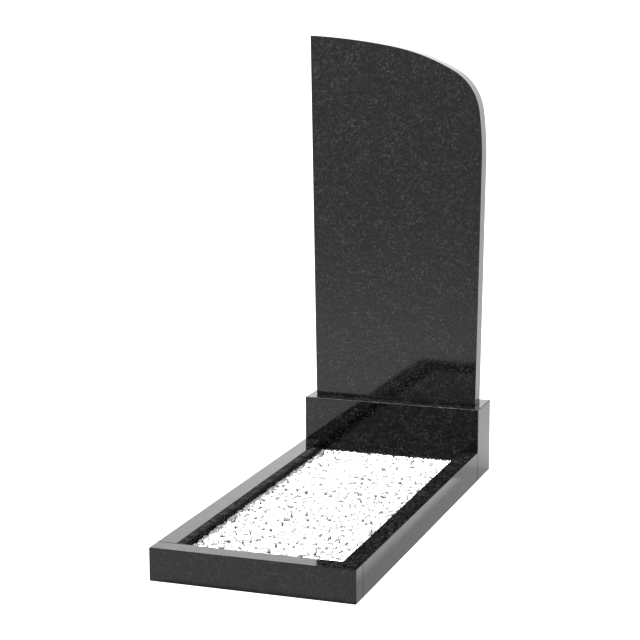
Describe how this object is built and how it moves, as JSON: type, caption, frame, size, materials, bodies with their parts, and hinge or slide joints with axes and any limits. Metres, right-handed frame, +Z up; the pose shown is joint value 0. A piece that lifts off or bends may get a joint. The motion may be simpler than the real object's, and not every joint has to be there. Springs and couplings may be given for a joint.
{
  "type": "headstone with kerbed grave surround",
  "caption": "Polished black granite headstone with a lopsided curved head, standing on a plinth, and a low kerbed grave surround filled with white marble chippings.",
  "frame": {"origin": "on the ground, at the middle of the memorial's footprint", "axes": "+Z up; -Y towards the visitor, from the stele to the front kerb; +X to the visitor's right, the side where the stele's head falls away"},
  "size_m": [0.5, 1.179, 1.2004],
  "materials": {
    "granite": "polished",
    "chippings": "matte"
  },
  "bodies": {
    "root": {"stele": "granite", "plinth": "granite", "kerb_front": "granite", "kerb_left": "granite", "kerb_right": "granite", "chippings": "chippings"}
  },
  "joints": []
}
